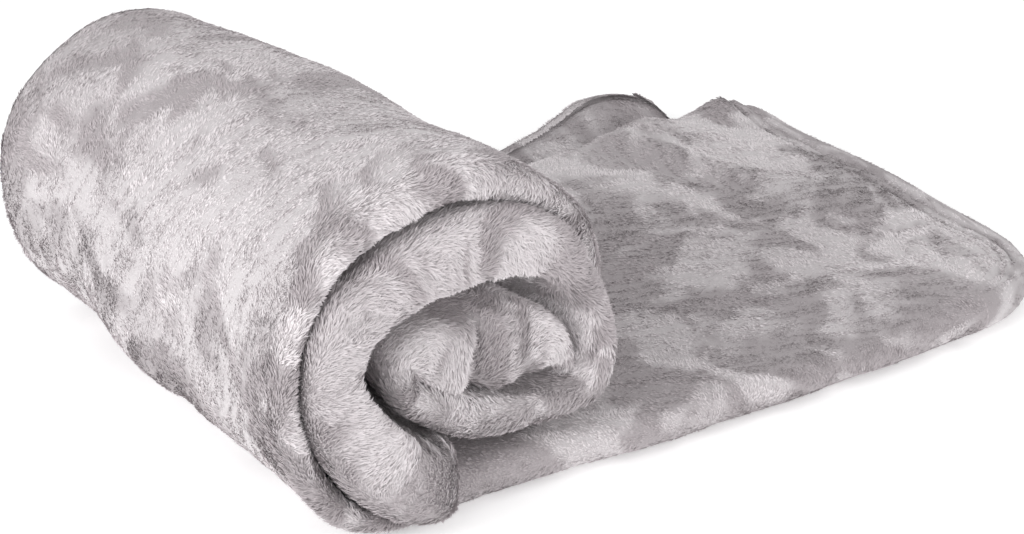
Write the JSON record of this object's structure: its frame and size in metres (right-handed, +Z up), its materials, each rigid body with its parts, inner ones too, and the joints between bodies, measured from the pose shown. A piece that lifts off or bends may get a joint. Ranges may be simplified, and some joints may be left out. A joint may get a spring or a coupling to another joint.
{
  "type": "rolled plush throw blanket",
  "caption": "Plush fleece throw, folded lengthwise and rolled up, with its last stretch lying flat and free to lift and fold back.",
  "frame": {"origin": "on the floor, under the middle of the blanket's box", "axes": "+X from the roll along the flat tail, +Y along the roll from its near end to its far end, +Z up"},
  "size_m": [0.5044, 0.3384, 0.1826],
  "materials": {
    "fleece": "deep plush pile, brushed, soft sheen",
    "hem": "turned plush pile, pressed flatter",
    "thread": "twisted sewing thread"
  },
  "bodies": {
    "roll": {"tail_root": "fleece", "outer_wrap": "fleece", "middle_wrap": "fleece", "inner_wrap": "fleece", "core_fold": "fleece"},
    "tail": {"tail_upper_leaf": "fleece", "tail_lower_leaf": "fleece"},
    "tail_end": {"end_upper_leaf": "fleece", "end_lower_leaf": "fleece", "end_hem": "hem", "hem_stitching_1": "thread", "hem_stitching_2": "thread"}
  },
  "joints": [
    {"name": "tail_lift", "type": "hinge", "parent": "roll", "child": "tail", "pos_m": [-0.06284, -0.0075, 0.025], "axis": [0, -1, 0], "range_deg": [0, 40]},
    {"name": "tail_fold", "type": "hinge", "parent": "tail", "child": "tail_end", "pos_m": [0.11915, -0.0075, 0.028], "axis": [0, -1, 0], "range_deg": [0, 160]}
  ]
}
